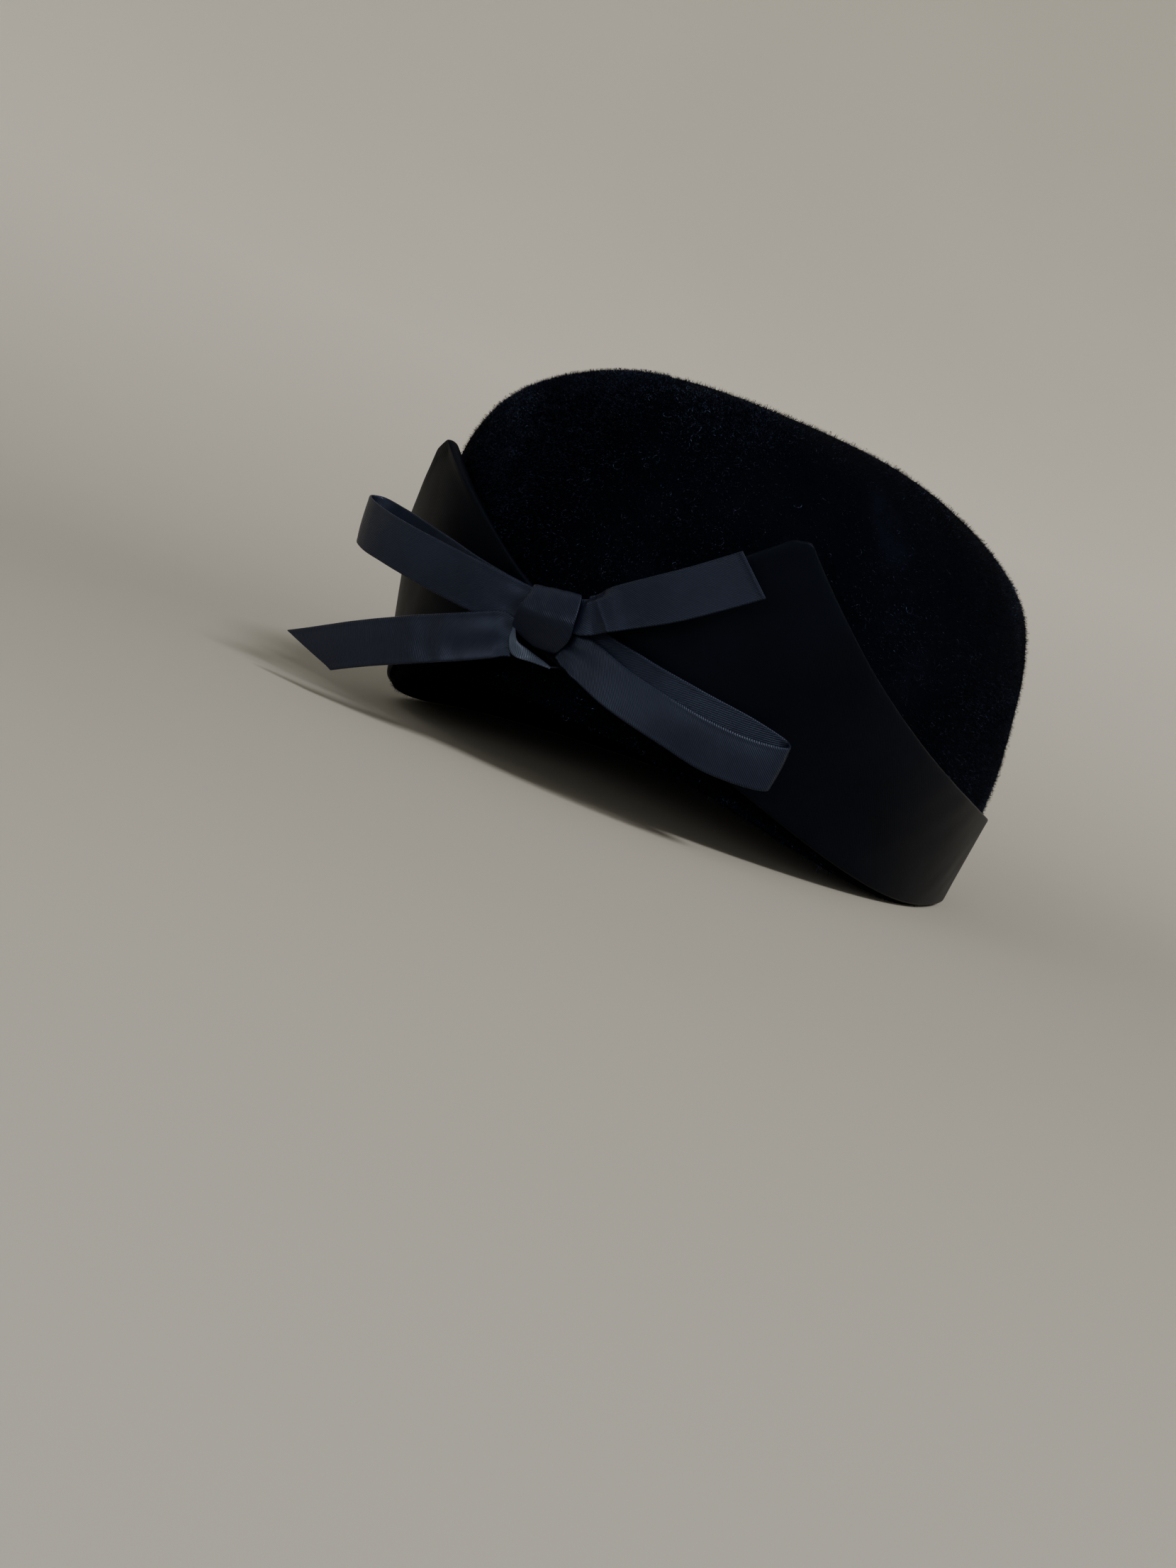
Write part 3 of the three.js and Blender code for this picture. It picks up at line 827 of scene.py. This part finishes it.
def felt_material():
    colours = [(0.0004, 0.0005, 0.0013), (0.0009, 0.0012, 0.0027), (0.0025, 0.0037, 0.0075)]
    material, tree, shader, where, colour = cloth_material(
        "navy_velour_felt", (0.95, 0.85), 0.02, (0.6, 0.75, 1), colours, (0.35, 0.62, 0.8), 26)
    link(tree, colour, "Color", shader, "Base Color")
    grain = noise(tree, 1500, 3, 0.7, where)
    coarse = noise(tree, 380, 4, 0.7, where)
    first = bump(tree, shader, grain.outputs["Fac"], 0.5, 0.0003)
    bump(tree, shader, coarse.outputs["Fac"], 0.35, 0.0006, after=first)
    return material


def nap_material():
    colours = [(0.0036, 0.0046, 0.0098), (0.0092, 0.0122, 0.0245), (0.03, 0.041, 0.072)]
    material, tree, shader, where, colour = cloth_material(
        "navy_velour_nap", (0.8, 0.6), 0.06, (0.6, 0.75, 1), colours, (0.38, 0.6, 0.78), 30)
    strands = noise(tree, 2400, 2, 0.5, where)
    fleck = ramp(tree, strands.outputs["Fac"], [(0.42, grey(0.12)), (0.56, grey(0.9)), (0.7, grey(5))])
    multiplied_colour(tree, shader, colour, fleck, 1)
    bump(tree, shader, strands.outputs["Fac"], 0.2, 0.0001)
    return material


def woven(tree, vector, scale, distortion):
    """Fine diagonal lines of a twill or satin weave."""
    lines = tree.nodes.new("ShaderNodeTexWave")
    lines.wave_type = "BANDS"
    lines.bands_direction = "DIAGONAL"
    lines.inputs["Scale"].default_value = scale
    lines.inputs["Distortion"].default_value = distortion
    lines.inputs["Detail"].default_value = 1
    tree.links.new(vector, lines.inputs["Vector"])
    return lines


def satin_material():
    colours = [(0.0009, 0.0011, 0.0024), (0.0016, 0.002, 0.0042)]
    material, tree, shader, where, colour = cloth_material(
        "navy_duchess_satin", (0.42, 0.48), 0.07, (0.52, 0.68, 1), colours, (0.3, 0.7), 45)
    lines = woven(tree, where, 1100, 1.5)
    multiplied_colour(tree, shader, colour, lines, 0.2)
    slub = noise(tree, 260, 3, 0.6, where)
    first = bump(tree, shader, lines.outputs["Fac"], 0.12, 0.0001)
    bump(tree, shader, slub.outputs["Fac"], 0.1, 0.0003, after=first)
    return material


def ribbon_material(name, colours, specular):
    material, tree, shader, where, colour = cloth_material(
        name, (0.3, 0.36), specular, (0.62, 0.74, 1), colours, (0.3, 0.7), 70)
    uv = tree.nodes.new("ShaderNodeUVMap")
    uv.uv_map = "along"
    lines = woven(tree, uv.outputs["UV"], 1150, 0.6)
    multiplied_colour(tree, shader, colour, lines, 0.7)
    slub = noise(tree, 320, 3, 0.6, where)
    first = bump(tree, shader, lines.outputs["Fac"], 0.5, 0.0001)
    bump(tree, shader, slub.outputs["Fac"], 0.12, 0.0002, after=first)
    return material


def backdrop_material():
    """A pale backdrop, a little darker round the hat, where the key light falls on it: painted shade
    that darkens its colour near the hat.
    """
    material, tree, shader = node_material("plain_backdrop")
    where = object_space(tree)
    away = tree.nodes.new("ShaderNodeVectorMath")
    away.operation = "LENGTH"
    tree.links.new(where, away.inputs[0])
    scaled = tree.nodes.new("ShaderNodeMath")
    scaled.operation = "MULTIPLY"
    tree.links.new(away.outputs["Value"], scaled.inputs[0])
    scaled.inputs[1].default_value = 0.25
    # Painted shade: the colour is darker near the hat and paler far out.
    stops = [(0.05, (0.34, 0.325, 0.288)), (0.55, (0.9, 0.87, 0.79))]
    colour = ramp(tree, scaled.outputs["Value"], stops)
    soft = noise(tree, 1.2, 2, 0.5, where)
    tone = ramp(tree, soft.outputs["Fac"], [(0.3, grey(0.97)), (0.7, grey(1))])
    multiplied_colour(tree, shader, colour, tone, 1)
    shader.inputs["Roughness"].default_value = 0.95
    shader.inputs["Specular IOR Level"].default_value = 0
    return material


# Camera, floor and lights

CAMERA_AZIMUTH = 22.3
CAMERA_ELEVATION = -2.35
CAMERA_ROLL = 20.03
CAMERA_DISTANCE = 364.9
CAMERA_TARGET = (0, 0, 50)
# How far the camera looks to the left of its target and below it, as shares of its distance
CAMERA_AIM = (0.116, 0.12)
CAMERA_FOCAL_PIXELS = 1661
PHOTO_HEIGHT = 2212


def make_camera():
    az, el, roll = (math.radians(v) for v in (CAMERA_AZIMUTH, CAMERA_ELEVATION, CAMERA_ROLL))
    back = Vector((math.sin(az) * math.cos(el), -math.cos(az) * math.cos(el), math.sin(el)))
    place = Vector(CAMERA_TARGET) + back * CAMERA_DISTANCE
    level = Vector((math.cos(az), math.sin(az), 0))
    up = level.cross(-back)
    right = math.cos(roll) * level + math.sin(roll) * up
    rolled_up = -math.sin(roll) * level + math.cos(roll) * up
    look = (-back - CAMERA_AIM[0] * right - CAMERA_AIM[1] * rolled_up).normalized()
    right = look.cross(rolled_up).normalized()
    rolled_up = right.cross(look)
    data = bpy.data.cameras.new("camera")
    data.sensor_width = 36
    data.lens = 36 * CAMERA_FOCAL_PIXELS / PHOTO_HEIGHT
    data.clip_start = 0.01
    camera = bpy.data.objects.new("camera", data)
    bpy.context.scene.collection.objects.link(camera)
    turn = Matrix((right, rolled_up, -look)).transposed().to_4x4()
    place = (place + Vector((0, MIDDLE_Y, 0))) * MM
    camera.matrix_world = Matrix.Translation(place) @ turn
    bpy.context.scene.camera = camera


def make_backdrop():
    """A floor that sweeps up into a round bowl, with no edge between the two."""
    flat, bowl = 0.35, 3.5
    just_below = 0.0001
    climb = np.linspace(0, 2, 70)[1:]
    radius = np.concatenate([np.linspace(0.02, flat, 12), flat + bowl * np.sin(climb)])
    height = np.concatenate([np.zeros(12), bowl * (1 - np.cos(climb))]) - just_below
    columns = 160
    turn = np.arange(columns) / columns * 2 * np.pi
    across, back = np.outer(radius, np.cos(turn)), np.outer(radius, np.sin(turn))
    points = np.stack([across, back, height[:, None] + 0 * across], -1).reshape(-1, 3)
    mesh = bpy.data.meshes.new("floor")
    sides = grid_faces(len(radius), columns, columns_join=True)[:, ::-1]
    faces = sides.tolist() + [list(range(columns))]
    mesh.from_pydata(points.tolist(), [], faces)
    mesh.update()
    mesh.polygons.foreach_set("use_smooth", np.full(len(mesh.polygons), True))
    mesh.materials.append(backdrop_material())
    floor = bpy.data.objects.new("floor", mesh)
    bpy.context.scene.collection.objects.link(floor)


def area_light(name, place, aim, size, watts, colour):
    data = bpy.data.lights.new(name, "AREA")
    data.shape = "DISK"
    data.size = size
    data.energy = watts
    data.color = colour
    light = bpy.data.objects.new(name, data)
    bpy.context.scene.collection.objects.link(light)
    light.location = place
    light.rotation_mode = "QUATERNION"
    light.rotation_quaternion = (Vector(aim) - Vector(place)).to_track_quat("-Z", "Y")
    light.visible_camera = False


def make_lights():
    hat = (0, 0, 0.05)
    area_light("key", (1.4, -0.72, 1.45), hat, 0.5, 39, (1.0, 0.985, 0.96))
    area_light("left", (-1.0, -1.3, 1.7), hat, 0.8, 3.2, (0.97, 0.985, 1.0))
    area_light("low_front", (0.1, -0.9, 0.1), hat, 0.4, 2.6, (0.98, 0.99, 1.0))
    world = bpy.data.worlds.new("room")
    world.use_nodes = True
    world.node_tree.nodes["Background"].inputs["Color"].default_value = (1, 0.99, 0.965, 1)
    world.node_tree.nodes["Background"].inputs["Strength"].default_value = 0.42
    bpy.context.scene.world = world


make_camera()
make_backdrop()
make_lights()

FELT = felt_material()
SATIN = satin_material()
RIBBON_COLOURS = [(0.0074, 0.0096, 0.0208), (0.0104, 0.0135, 0.0288)]
# Lighter colours and more specular for the ribbon's face turned under the knot: a painted highlight.
PAINTED_HIGHLIGHT_COLOURS = [(0.034, 0.044, 0.07), (0.048, 0.061, 0.094)]
RIBBON = ribbon_material("navy_twill_ribbon", RIBBON_COLOURS, 0.22)
RIBBON_PAINTED_HIGHLIGHT = ribbon_material("navy_ribbon_painted_highlight", PAINTED_HIGHLIGHT_COLOURS, 0.4)

crown = crown_piece(FELT)
nap_piece(crown, nap_material())
collar_piece(SATIN)

path, shares = bow_path(LOOP_LEFT, -1, LOOP_REACH["left"], 0)
ribbon_piece("ribbon_loop_left", "bow_loop_left", path, shares, RIBBON,
             loop_shape(-1), fold=(-0.06, 0, 1), steps=260)
path, shares = bow_path(LOOP_RIGHT, 1, LOOP_REACH["right"], 0)
ribbon_piece("ribbon_loop_right", "bow_loop_right", path, shares, RIBBON,
             loop_shape(1), fold=(0.11, 0, 1), steps=260)
path, shares = bow_path(TAIL_LEFT, -1, TAIL_REACH["left"], 1)
ribbon_piece("ribbon_tail_left", "bow_tail_left", path, shares, RIBBON,
             tail_left_shape, slant=TAIL_SLANT["left"])
path, shares = bow_path(TAIL_RIGHT, 1, TAIL_REACH["right"], 0)
ribbon_piece("ribbon_tail_right", "bow_tail_right", path, shares, RIBBON,
             tail_right_shape, slant=TAIL_SLANT["right"], steps=180)
wrap_piece(RIBBON)
# The fold's hidden half takes the collar's satin as painted shade, and its face the lighter ribbon as a
# painted highlight.
fold_piece(RIBBON_PAINTED_HIGHLIGHT, SATIN)
